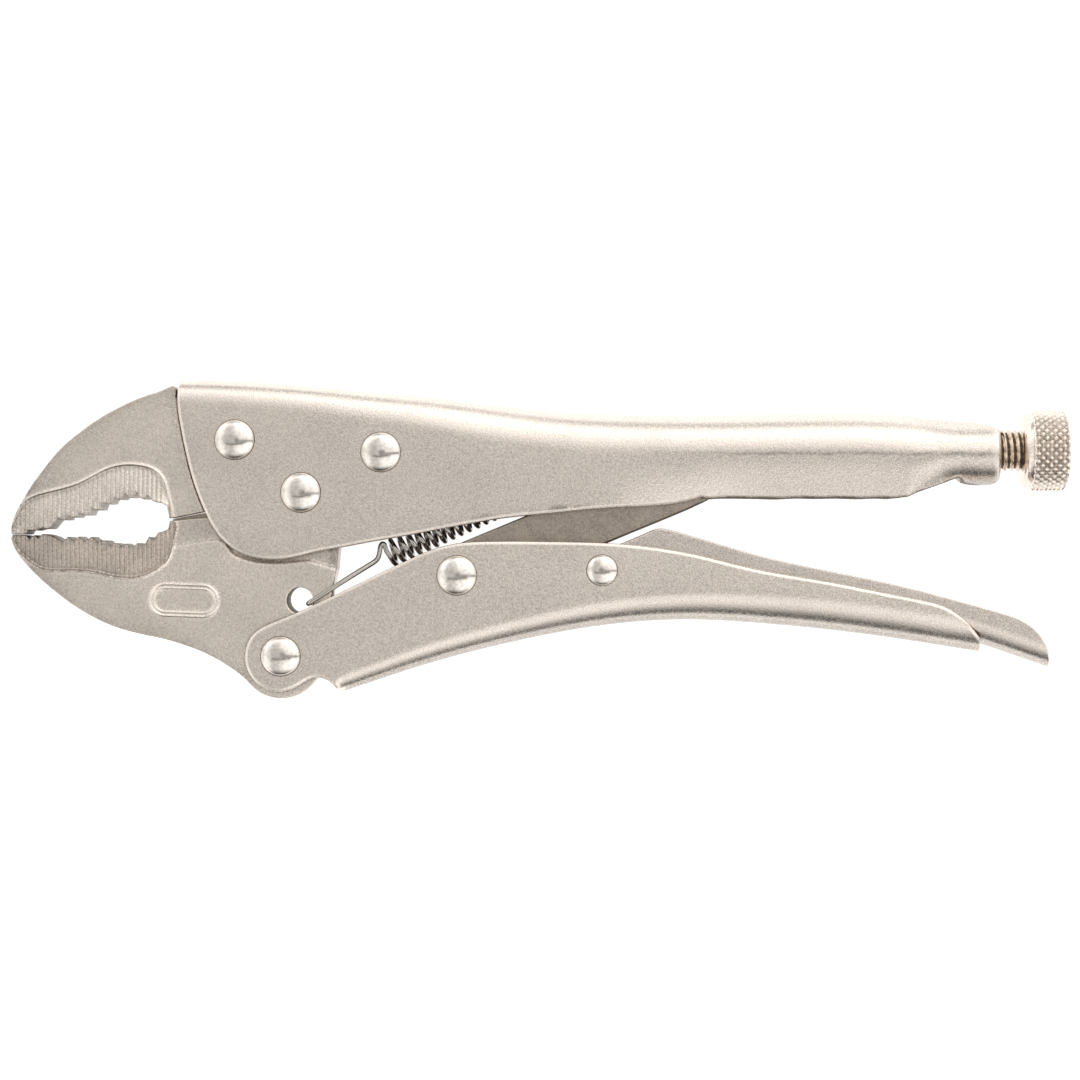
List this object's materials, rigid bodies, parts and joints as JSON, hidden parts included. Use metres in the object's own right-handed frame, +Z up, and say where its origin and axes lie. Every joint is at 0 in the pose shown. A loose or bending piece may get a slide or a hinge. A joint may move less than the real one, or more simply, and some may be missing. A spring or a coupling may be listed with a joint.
{
  "type": "locking pliers",
  "caption": "Curved-jaw locking pliers with pressed channel handles, toggle link, release lever and a knurled adjusting screw.",
  "frame": {"origin": "middle of the outline seen from above, on the surface that the tool lies on with one side down", "axes": "+X from the jaw tips to the adjusting knob, +Y from the lower handle to the upper handle, +Z up along the pivot rivets"},
  "size_m": [0.2496, 0.0751, 0.0202],
  "materials": {
    "plated_steel": "satin nickel plate over pressed sheet steel",
    "jaw_steel": "satin nickel plate over forged steel, fine sand-grain surface",
    "rivet_steel": "polished rivet heads",
    "screw_steel": "plated machined steel",
    "spring_steel": "dark drawn spring wire"
  },
  "bodies": {
    "tool_frame": {"upper_handle": "plated_steel", "fixed_jaw": "jaw_steel", "fixed_jaw_rivet_front": "rivet_steel", "fixed_jaw_rivet_rear": "rivet_steel", "jaw_pivot_rivet": "rivet_steel"},
    "moving_jaw": {"lower_jaw": "jaw_steel", "return_spring": "spring_steel"},
    "grip_handle": {"lower_handle": "plated_steel", "handle_pivot_rivet": "rivet_steel", "link_pivot_rivet": "rivet_steel", "lever_pivot_rivet": "rivet_steel"},
    "link": {"toggle_link": "jaw_steel"},
    "lever": {"release_lever": "plated_steel"},
    "screw": {"screw_shank": "screw_steel"},
    "knob": {"screw_knob": "screw_steel"}
  },
  "joints": [
    {"name": "jaw_pivot", "type": "hinge", "parent": "tool_frame", "child": "moving_jaw", "pos_m": [-0.05637, 0.01092, 0.0101], "axis": [0, 0, 1], "range_deg": [0, 20], "deforming": ["return_spring"]},
    {"name": "handle_pivot", "type": "hinge", "parent": "moving_jaw", "child": "grip_handle", "pos_m": [-0.06106, -0.02756, 0.0101], "axis": [0, 0, 1], "range_deg": [-61.8, 0]},
    {"name": "link_pivot", "type": "hinge", "parent": "grip_handle", "child": "link", "pos_m": [-0.01967, -0.00856, 0.0101], "axis": [0, 0, 1], "range_deg": [0, 71]},
    {"name": "release_pivot", "type": "hinge", "parent": "grip_handle", "child": "lever", "pos_m": [0.01444, -0.00736, 0.0101], "axis": [0, 0, 1], "range_deg": [0, 5]},
    {"name": "screw_travel", "type": "slide", "parent": "tool_frame", "child": "screw", "axis": [1, 0, 0], "range_m": [0, 0.0195]},
    {"name": "knob_spin", "type": "hinge", "parent": "screw", "child": "knob", "pos_m": [0.1199, 0.02095, 0.0101], "axis": [1, 0, 0], "range_deg": [0, 4680]}
  ],
  "couplings": [
    {"joint": "jaw_pivot", "follows": "handle_pivot", "ratio": -0.32362},
    {"joint": "link_pivot", "follows": "handle_pivot", "ratio": -1.1489},
    {"joint": "knob_spin", "follows": "screw_travel", "rad_per_m": 4188.8}
  ]
}
